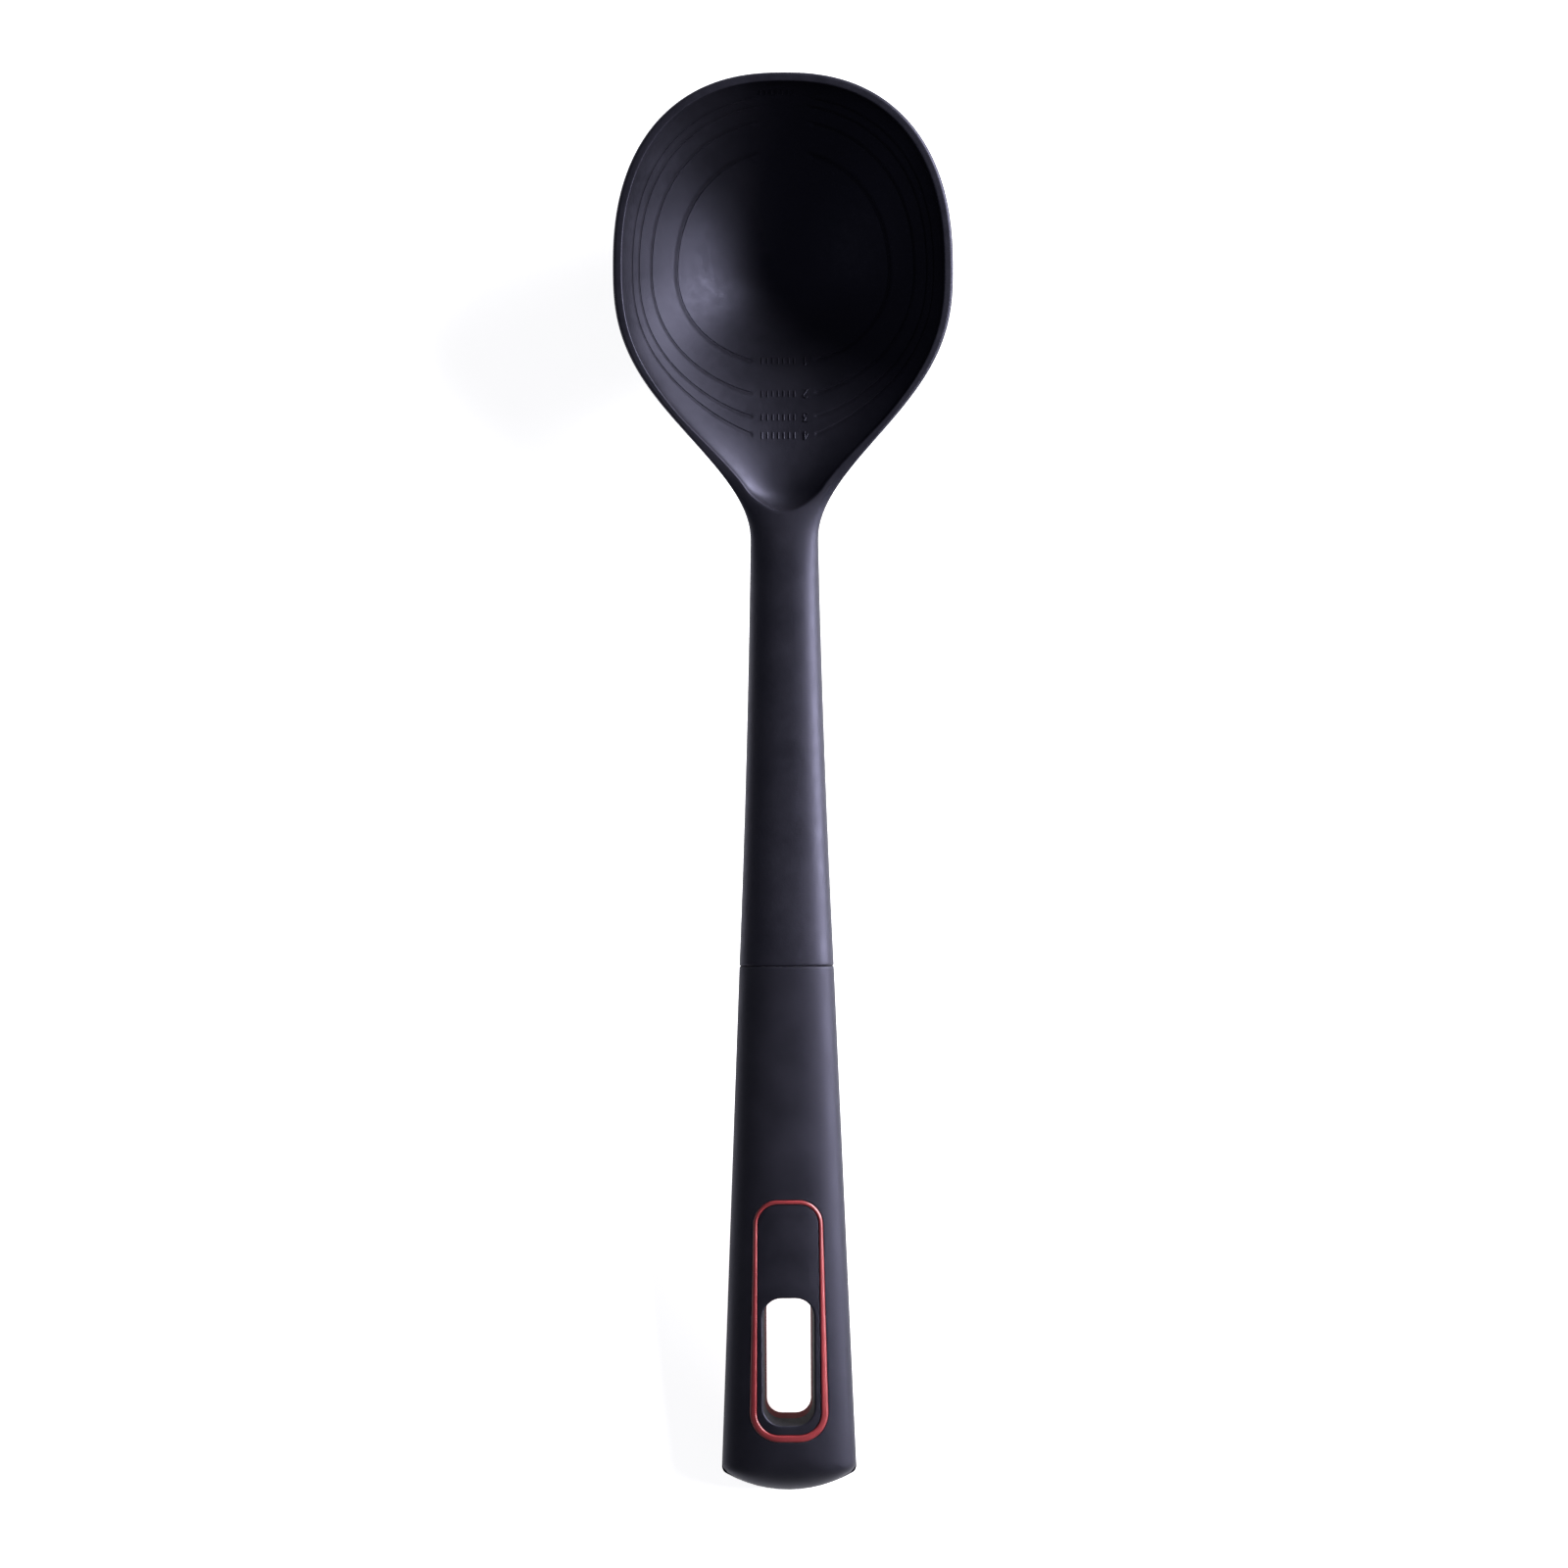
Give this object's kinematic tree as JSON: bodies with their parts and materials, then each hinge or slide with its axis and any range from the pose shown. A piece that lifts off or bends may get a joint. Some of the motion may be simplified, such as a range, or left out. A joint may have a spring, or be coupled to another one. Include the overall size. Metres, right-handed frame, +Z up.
{
  "type": "measuring spoon",
  "caption": "Long black nylon measuring spoon with engraved level lines, a soft grip and a red insert round its hang slot.",
  "frame": {"origin": "centre of the bounding box in plan, on the surface the spoon rests on", "axes": "+Y along the spoon towards the bowl tip, +Z up out of the bowl, +X to the right seen from above with the bowl away"},
  "size_m": [0.081, 0.34, 0.0314],
  "materials": {
    "nylon": "semi-matte",
    "soft_grip": "soft matte",
    "accent": "satin",
    "plate": "satin"
  },
  "bodies": {
    "root": {"bowl_and_shaft": "nylon", "grip": "soft_grip", "accent_insert": "accent", "slot_plate": "plate"}
  },
  "joints": []
}
